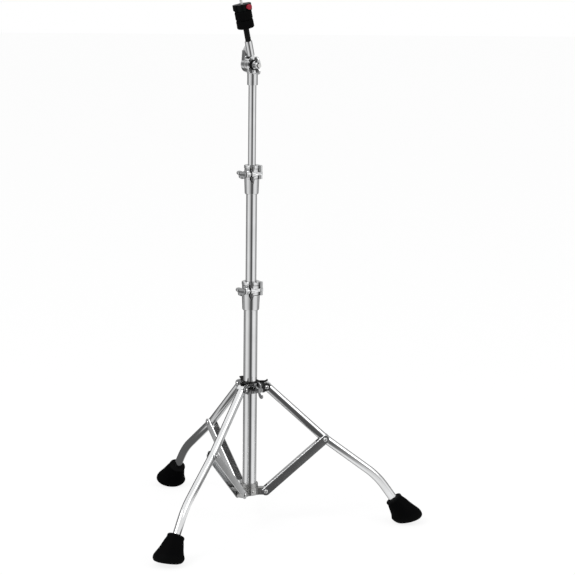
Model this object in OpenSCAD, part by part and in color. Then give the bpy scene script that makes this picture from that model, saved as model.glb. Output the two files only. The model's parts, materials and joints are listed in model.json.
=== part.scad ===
// Straight cymbal stand: a telescopic chrome column on three braced, folding legs.
// The origin is on the floor under the column's axis, +Z is up and +X runs along leg 1.
// Each piece sits in its place in the assembly, set up as in use, in millimetres.

/* [Column] */
// Outer diameter of the base tube
base_od = 28.6; // [27:0.1:31]
// Outer diameter of the middle tube
middle_od = 22.2; // [20:0.1:23.5]
// Outer diameter of the top tube
top_od = 15.9; // [14:0.1:17.5]
// Wall of every column tube
tube_wall = 1.2; // [1:0.1:1.6]
// Length of the base tube
base_len = 410; // [380:5:460]
// Length of the middle tube
middle_len = 455; // [420:5:470]
// Length of the top tube
top_len = 415; // [380:5:430]
// Height that the middle tube carries its joint above the lower joint
middle_reach = 241; // [150:1:330]
// Height of the tilter's hinge above the upper joint
top_reach = 263.5; // [180:0.5:330]
// How far the base tube's end lies below the brace pivots
tube_below_pivot = 3.4; // [1:0.1:6]

/* [Tripod linkage] */
// Distance of the bracket and collar pivots from the column's axis
pivot_r = 34.5; // [32:0.5:40]
// Length of a brace, and of a leg above its knee pivot
arm_len = 166; // [150:1:180]
// Angle between a brace and the floor with the legs spread
open_angle = 42.4; // [36:0.2:50]
// Radius of the linkage's rivets
rivet_r = 2.5; // [2:0.1:3]
// Radius of a rivet's head
rivet_head_r = 4.4; // [3.5:0.1:5.5]
// Thickness of a rivet's head
rivet_head_t = 1.8; // [1.2:0.1:2.5]

/* [Legs] */
// Width of a leg's oval tube
leg_w = 15; // [13:0.1:17]
// Height of a leg's oval tube
leg_h = 18; // [17.5:0.1:22]
// Wall of a leg's oval tube
leg_wall = 1.2; // [1:0.1:1.6]
// Length of the solid plug at the top of a leg
leg_plug = 14; // [12:0.5:20]
// Bend of the leg at its knee, towards level
knee_bend = 6.1; // [2:0.1:12]
// Radius of the bend at the knee
knee_bend_r = 80; // [50:5:120]
// Length of the leg from knee to ankle
shin_len = 137.6; // [120:0.2:160]
// Bend of the leg at its ankle, towards the floor
ankle_bend = 18.2; // [10:0.2:24]
// Radius of the bend at the ankle
ankle_bend_r = 160; // [100:5:200]
// Length of the leg from its ankle to the rim of its foot
ankle_len = 58.7; // [50:0.1:70]

/* [Feet] */
// Height of the middle of a foot's rim above the floor
foot_h = 52.1; // [50:0.1:54]
// Length of leg inside a foot
foot_socket = 32; // [20:1:36]
// Outer radius of a foot at its rim
foot_rim_r = 17.8; // [16:0.1:20]
// Radius of a foot's flared sole
foot_sole_r = 31.5; // [29:0.1:34]

/* [Braces] */
// Sheet thickness of a brace
brace_t = 1.5; // [1:0.1:2]
// Height of a brace's side walls
brace_h = 17.5; // [16:0.1:20]
// Distance of the web's end from the bracket pivot
web_start = 11; // [10.5:0.5:16]
// Distance of the web's end from the knee pivot
web_end = 18; // [17:0.5:24]
// Radius of a brace's folded edges
brace_fold_r = 2.6; // [2.1:0.1:3.5]

/* [Bottom bracket] */
// Outer radius of the bracket's ring
bracket_r = 18; // [17:0.1:20]
// Height of the ring above the pivots
bracket_up = 17.6; // [12:0.2:24]
// Height of the ring below the pivots
bracket_down = 7.4; // [6:0.2:9]
// Radius of the rounded end of a bracket lug
lug_r = 7.5; // [6:0.1:8]
// Azimuth of the screw that holds the bracket
bracket_screw_az = -62; // [-75:1:-50]
// Radius of the screw's head
bracket_screw_r = 3.6; // [3:0.1:4.5]

/* [Leg collar] */
// Outer radius of the collar's ring
collar_r = 18; // [17.5:0.1:20]
// Height of the collar above its pivots
collar_up = 9.6; // [9:0.1:12]
// Height of the collar below its pivots
collar_down = 12.3; // [10:0.1:16]
// Thickness of the collar's lug plates
collar_plate_t = 2.5; // [2:0.1:3]
// Wall of the collar's plastic bushing
bushing_wall = 1.6; // [1.2:0.1:2]
// Width of a bushing finger
finger_w = 8.6; // [6:0.2:12]
// Reach of a bushing finger from the column's axis
finger_reach = 37; // [34:0.5:42]
// Thickness of a bushing finger
finger_t = 2.4; // [1.6:0.1:3]
// Azimuth of the collar's wing bolt
collar_bolt_az = 300; // [292:1:308]
// Height of the collar's wing bolt above the collar pivots
collar_bolt_up = -1; // [-3:0.5:0]

/* [Height joints] */
// Height of a joint's sleeve
sleeve_h = 32; // [28:0.5:40]
// Height of a joint's clamping jaw
jaw_h = 21.3; // [20:0.1:26]
// Height of a joint's top ring
ring_h = 6.5; // [5:0.1:9]
// Depth of the tube's seat in the sleeve
joint_seat = 20.5; // [15:0.5:21]
// Wall of the sleeve at its lower edge
sleeve_wall = 3.1; // [2.5:0.1:4]
// Wall of the sleeve at its top
clamp_wall = 4.3; // [4:0.1:5.5]
// Wall of the top ring
ring_wall = 4.7; // [4.5:0.1:6]
// Radius of the jaw's hinge pin
hinge_pin_r = 1.75; // [1.5:0.05:2]
// Azimuth of the jaw's hinge
hinge_az = -12; // [-14:0.5:-10]
// Turn of both joints about the column
joint_turn = -2.6; // [-30:0.2:30]
// Slant of the clamping bolt from the left
bolt_slant = 20; // [14:0.5:24]
// Radius of every clamping bolt
bolt_r = 3; // [2.5:0.1:3.5]

/* [Wings] */
// Span of the wings at the collar and the tilter
wing_span = 37; // [30:0.5:42]
// Span of the wings at the two height joints
joint_wing_span = 29; // [26:0.5:36]
// Thickness of a wing
wing_t = 4.2; // [3:0.1:5]
// Radius of a wing's rounded ear
wing_ear_r = 7; // [6:0.1:8]

/* [Tilter] */
// Azimuth of the tilter's hinge bolt
tilter_az = -56.6; // [-70:0.2:-40]
// Tilt of the cymbal rod from upright
tilt = 12.9; // [0:0.1:30]
// Radius of the tilter's toothed discs
disc_r = 17; // [16:0.1:19]
// Length of the tilter's socket on the top tube
socket_len = 23; // [14:0.2:28]
// Wall of the tilter's socket
socket_wall = 2.8; // [2:0.1:4]
// Radius of the tilter's bolt
tilter_bolt_r = 4; // [3:0.1:4.5]
// Gap between the arm's post and the disc's rim
rim_gap = 2.4; // [1:0.1:4]
// Distance of the arm's top from the hinge
arm_top = 49.4; // [46:0.2:60]

/* [Topper] */
// Radius of the cymbal rod
rod_r = 3; // [2.5:0.1:3.5]
// Distance of the rod's tip from the hinge
rod_tip = 146; // [140:1:170]
// Radius of the cymbal seat
seat_r = 5.8; // [5.5:0.1:7]
// Length of the cymbal seat
seat_len = 27; // [20:0.5:32]
// Radius of the felts
felt_r = 17.6; // [15:0.1:20]
// Thickness of a felt
felt_t = 17.4; // [10:0.2:20]
// Height of the quick-release nut
nut_h = 14.4; // [13.6:0.2:18]
// Half of the quick-release nut's length
nut_half = 19; // [18:0.2:22]
// Azimuth of the nut's length
nut_az = -2.6; // [-20:0.2:20]
// Radius of the release button
button_r = 5.6; // [4.5:0.1:6]

/* [Clearances] */
// Gap round a piece that is fixed in another
fit_gap = 0.03; // [0.02:0.01:0.05]
// Running gap round pins, bolts and liners
run_gap = 0.08; // [0.05:0.01:0.1]
// Gap round the base tube in the sliding bushing
slide_gap = 0.25; // [0.2:0.01:0.4]
// Gap beside a piece that swings past another
side_gap = 0.35; // [0.3:0.05:0.5]
// Gap round the leg's end in its foot
foot_grip = 0.1; // [0.05:0.05:0.2]

/* [Hidden] */
$fn = 64;
over = 1;
far = 60;
leg_az = [0, 120, 240];
arc_steps = 12;

// Places of the linkage, worked out upwards from the floor
shin_angle = open_angle - knee_bend;
foot_angle = shin_angle + ankle_bend;
knee_bend_cut = knee_bend_r * tan(knee_bend / 2);
ankle_bend_cut = ankle_bend_r * tan(ankle_bend / 2);
knee_r = pivot_r + arm_len * cos(open_angle);
knee_z = foot_h + ankle_len * sin(foot_angle) + shin_len * sin(shin_angle);
foot_at_r = knee_r + shin_len * cos(shin_angle) + ankle_len * cos(foot_angle);
bracket_z = knee_z - arm_len * sin(open_angle);
collar_z = knee_z + arm_len * sin(open_angle);
brace_in = leg_w + 2 * side_gap;
brace_w = brace_in + 2 * brace_t;
plate_gap = leg_w + 2 * side_gap;
bushing_out = base_od / 2 + slide_gap + bushing_wall;
finger_z = leg_h / 2 + 0.4;

// Heights along the column
base_bottom = bracket_z - tube_below_pivot;
base_top = base_bottom + base_len;
lower_z = base_top - joint_seat;
upper_z = lower_z + middle_reach;
middle_top = upper_z + joint_seat;
tilter_z = upper_z + top_reach;
joint_h = sleeve_h + jaw_h + ring_h;
bolt_z = sleeve_h + jaw_h / 2;

// Clamp slot of a joint, across its front
slot_left = -3.4;
bar_left = 0.5;
bar_right = 5;
bar_play = 0.8;
jaw_play = 1;
groove_h = 1.2;
groove_wall = 2.2;
knuckle_r = 3.7;
jaw_knuckle_r = 4.2;
jaw_knuckle_h = 6.8;
boss_r = 6.5;
nose_r = 5.6;
jaw_bolt_play = 0.8;
boss_from = 4.2;
boss_to = 12;

// Tilter, measured along its hinge bolt from the column's axis
disc_from = -6;
disc_to = 5;
arm_from = -18;
arm_gap = 0.4;
socket_top = -disc_r - 0.8;
post_low = disc_r + rim_gap;
washer_t = 2.4;
washer_r = 10.5;
wing_nut_from = disc_to + washer_t + 0.4;

// Topper, measured along the rod from the hinge
seat_top = arm_top + seat_len;
felt_gap = 0.2;
felt_z = seat_top + felt_gap;
upper_felt_z = felt_z + felt_t + felt_gap;
nut_z = upper_felt_z + felt_t + felt_gap;
sleeve_r = rod_r + 1.2;
rod_root = 16;
thread_relief = 0.2;
thread_z = nut_z + nut_h + 0.4;

// Puts a piece of leg number i in its vertical plane, with +X outwards
module on_leg(i) {
    rotate([0, 0, leg_az[i - 1]]) children();
}

// A cylinder along X between two distances
module rod_x(from, to, r1, r2 = undef) {
    translate([from, 0, 0]) rotate([0, 90, 0])
        cylinder(h = to - from, r1 = r1, r2 = is_undef(r2) ? r1 : r2);
}

// A pin across a leg's plane, centred on it
module cross_pin(length, r) {
    rotate([90, 0, 0]) cylinder(h = length, r = r, center = true);
}

// A tube standing on the XY plane
module pipe(length, r_out, r_in) {
    difference() {
        cylinder(h = length, r = r_out);
        translate([0, 0, -over]) cylinder(h = length + 2 * over, r = r_in);
    }
}

// Outline of the leg's oval tube, drawn in by inset, with its height along Y
module leg_outline(inset) {
    polygon(leg_outline_points(inset));
}

// Points of that outline: half a circle above and half a circle below
function leg_outline_points(inset) = [for (below = [0, 1], k = [0:arc_steps])
    let (turn = 180 * (below + k / arc_steps), rise = (leg_h - leg_w) / 2)
    [-(leg_w / 2 - inset) * cos(turn),
        (leg_w / 2 - inset) * sin(turn) + (below == 0 ? rise : -rise)]];

// Stations of the leg's middle line: distance along X, height and slope
function ahead(at, length) = [at[0] + length * cos(at[2]), at[1] + length * sin(at[2]), at[2]];

// The station part of the way round a bend, which turns up where the angle is positive
function bent(at, r, angle, part) =
    let (way = sign(angle) * r, slope = at[2] + angle * part)
    [at[0] + way * (sin(slope) - sin(at[2])), at[1] + way * (cos(at[2]) - cos(slope)), slope];

function bend_stations(at, r, angle, steps) = [for (k = [0:steps]) bent(at, r, angle, k / steps)];

// The whole leg from a start below its top pivot to an end past the foot's rim
function leg_stations(start, into_foot) =
    let (knee = [arm_len - knee_bend_cut, 0, 0],
        past_knee = bent(knee, knee_bend_r, knee_bend, 1),
        ankle = ahead(past_knee, shin_len - knee_bend_cut - ankle_bend_cut),
        past_ankle = bent(ankle, ankle_bend_r, -ankle_bend, 1))
    concat([[start, 0, 0]], bend_stations(knee, knee_bend_r, knee_bend, 4),
        bend_stations(ankle, ankle_bend_r, -ankle_bend, 8),
        [ahead(past_ankle, ankle_len - ankle_bend_cut + into_foot)]);

// A closed skin over rings that all have the same number of points
module skin(rings) {
    sides = len(rings[0]);
    last = len(rings) - 1;
    walls = [for (j = [0:last - 1], k = [0:sides - 1])
        let (a = j * sides + k, b = j * sides + (k + 1) % sides)
        each [[a, b, b + sides], [a, b + sides, a + sides]]];
    first_end = [for (k = [0:sides - 1]) sides - 1 - k];
    last_end = [for (k = [0:sides - 1]) last * sides + k];
    polyhedron([for (ring = rings) each ring], concat(walls, [first_end, last_end]),
        convexity = 6);
}

// A solid along the leg's middle line with the leg's outline drawn in by inset
module leg_sweep(inset, start, into_foot) {
    skin([for (at = leg_stations(start, into_foot)) [for (p = leg_outline_points(inset))
        [at[0] - p[1] * sin(at[2]), p[0], at[1] + p[1] * cos(at[2])]]]);
}

// A leg with its rounded top, hollow tube and two pivot holes
module leg(i) {
    color("silver") on_leg(i) translate([pivot_r, 0, collar_z]) rotate([0, open_angle, 0])
        difference() {
            union() {
                leg_sweep(0, 0, foot_socket);
                cross_pin(leg_w - 0.4, leg_h / 2);
            }
            leg_sweep(leg_wall, leg_plug, foot_socket + over);
            cross_pin(leg_w + 2 * over, rivet_r + run_gap);
            translate([arm_len, 0, 0]) cross_pin(leg_w + 2 * over, rivet_r + run_gap);
        }
}

// Rings of a foot's skin: distance along the leg, shift outwards, radius and lean of the ring
function foot_rings() = [
    [0, 0, foot_rim_r - 2, 0],
    [1.2, 0, foot_rim_r - 0.3, 0],
    [4, 0.2, foot_rim_r, 0],
    [14, 0.7, foot_rim_r + 2.3, 2.5],
    [26, 1.3, foot_sole_r - 8, 7.5],
    [36, 1.7, foot_sole_r - 4.2, 11.5],
    [42, 2.1, foot_sole_r - 1.3, 15.5],
    [46, 2.4, foot_sole_r, 18.5],
    [52, 2.4, foot_sole_r, 22],
    [56.4, 1.4, foot_sole_r - 4, 22],
    [58.4, 0.2, foot_sole_r - 11, 22]];

// Points of one ring, with the leg's direction along +X
function ring_points(ring, sides) = [for (k = [0:sides - 1])
    let (turn = 360 * k / sides, across = ring[2] * cos(turn))
    [ring[0] + across * sin(ring[3]), ring[2] * sin(turn), ring[1] + across * cos(ring[3])]];

// A rubber foot on the leg's end, flat where it meets the floor
module foot(i) {
    color([0.08, 0.08, 0.08]) on_leg(i) difference() {
        translate([foot_at_r, 0, foot_h]) rotate([0, foot_angle, 0]) difference() {
            skin([for (ring = foot_rings()) ring_points(ring, 36)]);
            translate([-over, 0, 0]) rotate([90, 0, 90])
                linear_extrude(foot_socket + over) leg_outline(-foot_grip);
        }
        translate([foot_at_r, 0, -far]) cube(2 * far, center = true);
    }
}

// Outline of a brace's side wall: two round ends and the straight wall between them
module brace_side() {
    for (x = [0, arm_len]) translate([x, 0]) circle(r = brace_h / 2);
    translate([0, -brace_h / 2]) square([arm_len, brace_h]);
}

// Section of a brace: a channel open downwards with rounded folds
module brace_section() {
    difference() {
        union() {
            for (side = [-1, 1])
                translate([side * (brace_w / 2 - brace_fold_r), brace_h / 2 - brace_fold_r])
                    circle(r = brace_fold_r);
            translate([-brace_w / 2, -brace_h / 2]) square([brace_w, brace_h - brace_fold_r]);
            translate([brace_fold_r - brace_w / 2, 0])
                square([brace_w - 2 * brace_fold_r, brace_h / 2]);
        }
        translate([-brace_in / 2, -brace_h]) square([brace_in, 1.5 * brace_h - brace_t]);
    }
}

// A pressed brace between the bracket and the knee of its leg
module brace(i) {
    color("lightgray") on_leg(i) translate([pivot_r, 0, bracket_z]) rotate([0, -open_angle, 0])
        difference() {
            intersection() {
                rotate([90, 0, 0]) linear_extrude(brace_w, center = true) brace_side();
                translate([-brace_h, 0, 0]) rotate([90, 0, 90])
                    linear_extrude(arm_len + 2 * brace_h) brace_section();
            }
            // The web stops short of the bracket's lug and of the folding leg
            translate([-brace_h, -brace_in / 2, 0]) cube([brace_h + web_start, brace_in, brace_h]);
            translate([arm_len - web_end, -brace_in / 2, 0])
                cube([brace_h + web_end, brace_in, brace_h]);
            for (x = [0, arm_len]) translate([x, 0, 0])
                cross_pin(brace_w + 2 * over, rivet_r + (x == 0 ? run_gap : fit_gap));
        }
}

// A rivet through a width, with a head on each side
module rivet(width) {
    cross_pin(width + 0.2, rivet_r);
    for (side = [-1, 1])
        translate([0, side * (width / 2 + 0.1 + rivet_head_t / 2), 0]) {
            cross_pin(rivet_head_t, rivet_head_r);
            translate([0, side * 0.4, 0]) cross_pin(rivet_head_t, rivet_r);
        }
}

module bracket_rivets() {
    color("gainsboro") for (i = [1:3]) on_leg(i) translate([pivot_r, 0, bracket_z]) rivet(brace_w);
}

module knee_rivet(i) {
    color("gainsboro") on_leg(i) translate([knee_r, 0, knee_z]) rivet(brace_w);
}

module collar_rivets() {
    color("gainsboro") for (i = [1:3]) on_leg(i) translate([pivot_r, 0, collar_z])
        rivet(plate_gap + 2 * collar_plate_t);
}

module base_tube() {
    color("gainsboro") translate([0, 0, base_bottom])
        pipe(base_len, base_od / 2, base_od / 2 - tube_wall);
}

// Bracket round the base tube's end, with a lug inside each brace
module bottom_bracket() {
    lug_t = leg_w;
    color("silver") translate([0, 0, bracket_z]) difference() {
        union() {
            translate([0, 0, -bracket_down]) cylinder(h = bracket_up + bracket_down, r = bracket_r);
            for (i = [1:3]) on_leg(i) rotate([90, 0, 0]) linear_extrude(lug_t, center = true) {
                translate([pivot_r, 0]) circle(r = lug_r);
                translate([bracket_r - 3, -lug_r]) square([pivot_r - bracket_r + 3, 2 * lug_r]);
            }
            // Flat face that carries the screw
            rotate([0, 0, bracket_screw_az]) translate([bracket_r - 4, -6, -lug_r + 1])
                cube([4.6, 12, 2 * lug_r]);
        }
        // The tube stands on a lip at the bracket's foot
        translate([0, 0, -tube_below_pivot]) cylinder(h = far, r = base_od / 2 + fit_gap);
        translate([0, 0, -far]) cylinder(h = 2 * far, r = base_od / 2 - tube_wall - 0.6);
        for (i = [1:3]) on_leg(i) translate([pivot_r, 0, 0])
            cross_pin(lug_t + 2 * over, rivet_r + fit_gap);
        rotate([0, 0, bracket_screw_az]) translate([0, 0, 1.5])
            rod_x(base_od / 2 - 1, far, 2 + fit_gap);
    }
}

module bracket_screw() {
    seat = bracket_r + 0.6;
    color("gray") translate([0, 0, bracket_z + 1.5]) rotate([0, 0, bracket_screw_az])
        difference() {
            union() {
                rod_x(base_od / 2 + 0.2, seat + 0.1, 2);
                rod_x(seat, seat + 2, bracket_screw_r, bracket_screw_r - 0.8);
            }
            for (turn = [0, 90]) rotate([turn, 0, 0]) translate([seat + 2, 0, 0])
                cube([2.2, 4, 0.9], center = true);
        }
}

// Side view of a collar's lug plate, with its pivot at the origin
module collar_plate() {
    root = collar_r - 4 - pivot_r;
    circle(r = lug_r);
    polygon([[root, -collar_down], [root, collar_up], [-lug_r, collar_up],
        [0, lug_r], [0, -lug_r], [-lug_r * 0.8, -collar_down * 0.9]]);
}

// Sliding collar with a pair of lug plates round the top of each leg
module leg_collar() {
    plate_mid = (plate_gap + collar_plate_t) / 2;
    color("silver") translate([0, 0, collar_z]) difference() {
        union() {
            translate([0, 0, -collar_down]) cylinder(h = collar_up + collar_down, r = collar_r);
            for (i = [1:3], side = [-1, 1]) on_leg(i) {
                translate([pivot_r, side * plate_mid, 0]) rotate([90, 0, 0])
                    linear_extrude(collar_plate_t, center = true) collar_plate();
                translate([collar_r - 1.5, side * (plate_mid - 0.2), -collar_down])
                    cylinder(h = collar_up + collar_down, r = collar_plate_t / 2 + 0.9);
            }
            rotate([0, 0, collar_bolt_az]) translate([0, 0, collar_bolt_up])
                rod_x(collar_r - 3, collar_r + 6, 7, 6.2);
        }
        translate([0, 0, -far]) cylinder(h = 2 * far, r = bushing_out + fit_gap);
        // Room for the top of each leg between its plates
        for (i = [1:3]) on_leg(i) translate([collar_r, -plate_gap / 2, -far])
            cube([far, plate_gap, 2 * far]);
        for (i = [1:3]) on_leg(i) translate([pivot_r, 0, 0])
            cross_pin(far, rivet_r + fit_gap);
        rotate([0, 0, collar_bolt_az]) translate([0, 0, collar_bolt_up])
            rod_x(0, far, bolt_r + run_gap);
    }
}

// Side view of a bushing finger, flat over the leg's top and upturned at its end
module finger_outline() {
    flat_end = finger_reach - 6;
    root = bushing_out + 1;
    low = collar_up + 0.2;
    high = collar_up + finger_t - 0.2;
    polygon([[root, low], [flat_end + 1, low], [finger_reach, low + 3.2],
        [finger_reach - 1.4, low + 3.2 + finger_t * 0.8], [flat_end, high], [root, high]]);
}

// Plastic bushing between collar and tube, with a finger over the top of each leg
module collar_bushing() {
    bore = base_od / 2 + slide_gap;
    color([0.06, 0.06, 0.06]) translate([0, 0, collar_z]) difference() {
        union() {
            translate([0, 0, -collar_down]) cylinder(h = collar_up + collar_down, r = bushing_out);
            translate([0, 0, collar_up]) cylinder(h = finger_t, r = collar_r + 0.6);
            for (i = [1:3]) on_leg(i) rotate([90, 0, 0])
                linear_extrude(finger_w, center = true) finger_outline();
        }
        translate([0, 0, -far]) cylinder(h = 2 * far, r = bore);
        rotate([0, 0, collar_bolt_az]) translate([0, 0, collar_bolt_up])
            rod_x(0, far, bolt_r + run_gap);
    }
}

// Outline of one wing, along +X from its hub, with the ear leaning away from the hub
module wing_outline(lean, span) {
    tip = span / 2 - wing_ear_r;
    translate([lean, tip]) circle(r = wing_ear_r);
    polygon([[0, 0], [9, 0], [lean + wing_ear_r - 0.3, tip - 2], [lean - wing_ear_r + 0.3, tip - 2]]);
}

// A bolt along +X with a winged head: the shaft ends at tip and the hub starts at seat
module wing_bolt(tip, seat, shaft_r, turn, span) {
    rod_x(tip, seat + 2, shaft_r);
    translate([seat, 0, 0]) rotate([turn, 0, 0]) wing_head(7.5, span);
}

// The winged head: a stepped hub along +X and two wings in the XZ plane
module wing_head(hub_r, span) {
    rod_x(0, 3, hub_r);
    rod_x(3, 13, hub_r - 0.8, hub_r - 2);
    for (side = [0, 1]) mirror([0, 0, side]) translate([3, 0, 0]) rotate([90, 0, 0])
        linear_extrude(wing_t, center = true) wing_outline(6, span);
}

module collar_wing_bolt() {
    color("gainsboro") translate([0, 0, collar_z + collar_bolt_up]) rotate([0, 0, collar_bolt_az])
        wing_bolt(base_od / 2 + 0.3, collar_r + 12, bolt_r, 11, wing_span);
}

// Puts a piece in the frame of its height joint, with the clamp's slot towards -Y
module at_lower() {
    translate([0, 0, lower_z]) rotate([0, 0, joint_turn]) children();
}

module at_upper() {
    translate([0, 0, upper_z]) rotate([0, 0, joint_turn]) children();
}

// Radius of a joint's bore round its liner
function liner_out(out_od) = out_od / 2 - tube_wall / 2;
function clamp_bore(out_od) = liner_out(out_od) + run_gap;
function hinge_r(out_od) = out_od / 2 + ring_wall + 2.4;

// Puts a piece on the clamping bolt's axis, with +X towards the wings
module on_bolt(out_od) {
    translate([0, -out_od / 2 - 6.2, bolt_z]) rotate([0, 0, 180 + bolt_slant]) children();
}

// Puts a piece on the jaw's hinge
module on_hinge(out_od) {
    rotate([0, 0, hinge_az]) translate([hinge_r(out_od), 0, 0]) children();
}

// Plan of the space that the jaw takes up, from the slot round to the hinge
module jaw_plan(left, end_az) {
    inside = 6;
    polygon([[left, -far], [far, -far], [far, far * tan(end_az)],
        [inside, inside * tan(end_az)], [left, -inside]]);
}

// A face of the clamp as seen from the front, cut or filled from the bore outwards
module through_front(bore, depth) {
    rotate([90, 0, 0]) translate([0, 0, bore]) linear_extrude(depth) children();
}

// Cast body of a height joint: sleeve, clamp wall, slotted top ring, hinge ears and bolt boss
module joint_body(out_od, in_od) {
    r = out_od / 2;
    bore = clamp_bore(out_od);
    ear_low = sleeve_h + (jaw_h - jaw_knuckle_h) / 2 - 0.2;
    ear_high = sleeve_h + (jaw_h + jaw_knuckle_h) / 2 + 0.2;
    difference() {
        union() {
            difference() {
                union() {
                    cylinder(h = 2, r1 = r + sleeve_wall - 1, r2 = r + sleeve_wall);
                    translate([0, 0, 2]) cylinder(h = sleeve_h - 2, r1 = r + sleeve_wall,
                        r2 = r + clamp_wall);
                    translate([0, 0, sleeve_h]) cylinder(h = jaw_h - groove_h,
                        r = r + clamp_wall - 0.3);
                    // Groove that sets the ring off from the clamp's wall
                    translate([0, 0, sleeve_h]) cylinder(h = jaw_h, r = r + groove_wall);
                    translate([0, 0, sleeve_h + jaw_h]) cylinder(h = ring_h - 1, r = r + ring_wall);
                    translate([0, 0, joint_h - 1]) cylinder(h = 1, r1 = r + ring_wall,
                        r2 = r + ring_wall - 1);
                }
                translate([0, 0, sleeve_h]) linear_extrude(jaw_h) jaw_plan(slot_left, 2);
                through_front(bore - 4, far) slot_outline();
            }
            for (ear = [[sleeve_h - 0.5, ear_low], [ear_high, joint_h - 0.3]])
                translate([0, 0, ear[0]]) {
                    on_hinge(out_od) cylinder(h = ear[1] - ear[0], r = knuckle_r);
                    linear_extrude(ear[1] - ear[0]) ear_plan(out_od);
                }
            on_bolt(out_od) {
                rod_x(boss_from, boss_to, boss_r);
                translate([boss_from, -boss_r - 1, 0.5 - boss_r])
                    cube([boss_to - boss_from - 3, boss_r, 2 * boss_r - 1]);
            }
        }
        translate([0, 0, -over]) cylinder(h = joint_seat + over, r = r + fit_gap);
        cylinder(h = sleeve_h + jaw_h, r = bore);
        cylinder(h = joint_h + over, r = in_od / 2 + side_gap);
        on_hinge(out_od) cylinder(h = joint_h + over, r = hinge_pin_r + fit_gap);
        on_bolt(out_od) {
            rod_x(boss_from - over, boss_to + over, bolt_r + run_gap);
            // Blind hole in the front of the boss
            translate([boss_from + 4.2, far / 2 + bolt_r + 1.2, -2.4]) rotate([90, 0, 0])
                cylinder(h = far, r = 1.9, center = true);
        }
    }
}

// Plan of the web that ties a hinge ear to the body behind it
module ear_plan(out_od) {
    hub = hinge_r(out_od);
    wall = out_od / 2 + clamp_wall;
    polygon([hub * [cos(hinge_az), sin(hinge_az)] + [knuckle_r * 0.8, 0],
        [wall * cos(22), wall * sin(22)], [(wall - 2.5) * cos(20), (wall - 2.5) * sin(20)],
        [(wall - 2.5) * cos(5), (wall - 2.5) * sin(5)],
        hub * [cos(hinge_az), sin(hinge_az)] - [knuckle_r * 0.7, 0]]);
}

// Front view of the slot: parallel above, running into a V below the jaw
module slot_outline() {
    right = bar_right + bar_play;
    foot = joint_seat + 2;
    polygon([[slot_left, joint_h + over], [right, joint_h + over], [right, sleeve_h - 1.4],
        [right - 2.2, foot], [right - 4.2, foot], [slot_left, sleeve_h - 1]]);
}

// Front view of the jaw's upright bar, inside the slot
module bar_outline() {
    foot = joint_seat + 3.2;
    polygon([[bar_left, joint_h - 0.4], [bar_right, joint_h - 0.4], [bar_right, sleeve_h - 1.4],
        [bar_right - 1.8, foot], [bar_right - 2.8, foot], [bar_left, sleeve_h - 1]]);
}

// Hinged jaw of a height joint
module joint_jaw(out_od) {
    r = out_od / 2;
    bore = clamp_bore(out_od);
    knuckle_z = sleeve_h + (jaw_h - jaw_knuckle_h) / 2;
    difference() {
        union() {
            translate([0, 0, sleeve_h + jaw_play]) intersection() {
                cylinder(h = jaw_h - 2 * jaw_play, r = r + clamp_wall);
                linear_extrude(jaw_h) jaw_plan(bar_left, hinge_az + 4);
            }
            intersection() {
                through_front(bore - 2, r + ring_wall - bore + 2) bar_outline();
                cylinder(h = joint_h, r = r + ring_wall + 0.4);
            }
            on_bolt(out_od) {
                rod_x(-7.5, 0, nose_r);
                translate([-7, -nose_r - 0.3, 0.5 - nose_r])
                    cube([6.6, nose_r - 0.5, 2 * nose_r - 1]);
            }
            translate([0, 0, knuckle_z]) {
                on_hinge(out_od) cylinder(h = jaw_knuckle_h, r = jaw_knuckle_r);
                translate([0, 0, 0.2]) linear_extrude(jaw_knuckle_h - 0.4)
                    knuckle_plan(out_od);
            }
        }
        cylinder(h = joint_h + over, r = bore);
        on_hinge(out_od) {
            cylinder(h = joint_h, r = hinge_pin_r + run_gap);
            // Room for the body's ears below and above the knuckle
            cylinder(h = knuckle_z - 0.1, r = knuckle_r + 0.4);
            translate([0, 0, knuckle_z + jaw_knuckle_h + 0.1])
                cylinder(h = joint_h, r = knuckle_r + 0.4);
        }
        on_bolt(out_od) rod_x(-far, far, bolt_r + jaw_bolt_play);
    }
}

// Plan of the web that ties the jaw to its knuckle
module knuckle_plan(out_od) {
    hub = hinge_r(out_od);
    wall = out_od / 2 + clamp_wall - 0.4;
    polygon([hub * [cos(hinge_az), sin(hinge_az)] + [jaw_knuckle_r * 0.8, -1],
        [wall * cos(-42), wall * sin(-42)], [(wall - 3) * cos(-40), (wall - 3) * sin(-40)],
        [(wall - 3) * cos(-16), (wall - 3) * sin(-16)],
        hub * [cos(hinge_az), sin(hinge_az)] - [jaw_knuckle_r * 0.7, 0]]);
}

module hinge_pin(out_od) {
    color("gray") on_hinge(out_od) translate([0, 0, sleeve_h - 0.5])
        cylinder(h = joint_h - sleeve_h + 0.2, r = hinge_pin_r);
}

// Split nylon liner that the inner tube slides in
module joint_liner(out_od, in_od) {
    color([0.1, 0.1, 0.11]) translate([0, 0, joint_seat + 0.1]) difference() {
        pipe(sleeve_h + jaw_h - joint_seat - 0.4, liner_out(out_od), in_od / 2 + run_gap);
        translate([-1, -far, -over]) cube([2, far, 2 * far]);
    }
}

module joint_wing_bolt(out_od) {
    color("gray") on_bolt(out_od)
        wing_bolt(-6.5, boss_to + 1.6, bolt_r, 68, joint_wing_span);
}

module lower_joint_body() {
    color("silver") at_lower() joint_body(base_od, middle_od);
}

module lower_joint_jaw() {
    color("gainsboro") at_lower() joint_jaw(base_od);
}

module lower_hinge_pin() {
    at_lower() hinge_pin(base_od);
}

module lower_joint_liner() {
    at_lower() joint_liner(base_od, middle_od);
}

module lower_wing_bolt() {
    at_lower() joint_wing_bolt(base_od);
}

module upper_joint_body() {
    color("silver") at_upper() joint_body(middle_od, top_od);
}

module upper_joint_jaw() {
    color("gainsboro") at_upper() joint_jaw(middle_od);
}

module upper_hinge_pin() {
    at_upper() hinge_pin(middle_od);
}

module upper_joint_liner() {
    at_upper() joint_liner(middle_od, top_od);
}

module upper_wing_bolt() {
    at_upper() joint_wing_bolt(middle_od);
}

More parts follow.
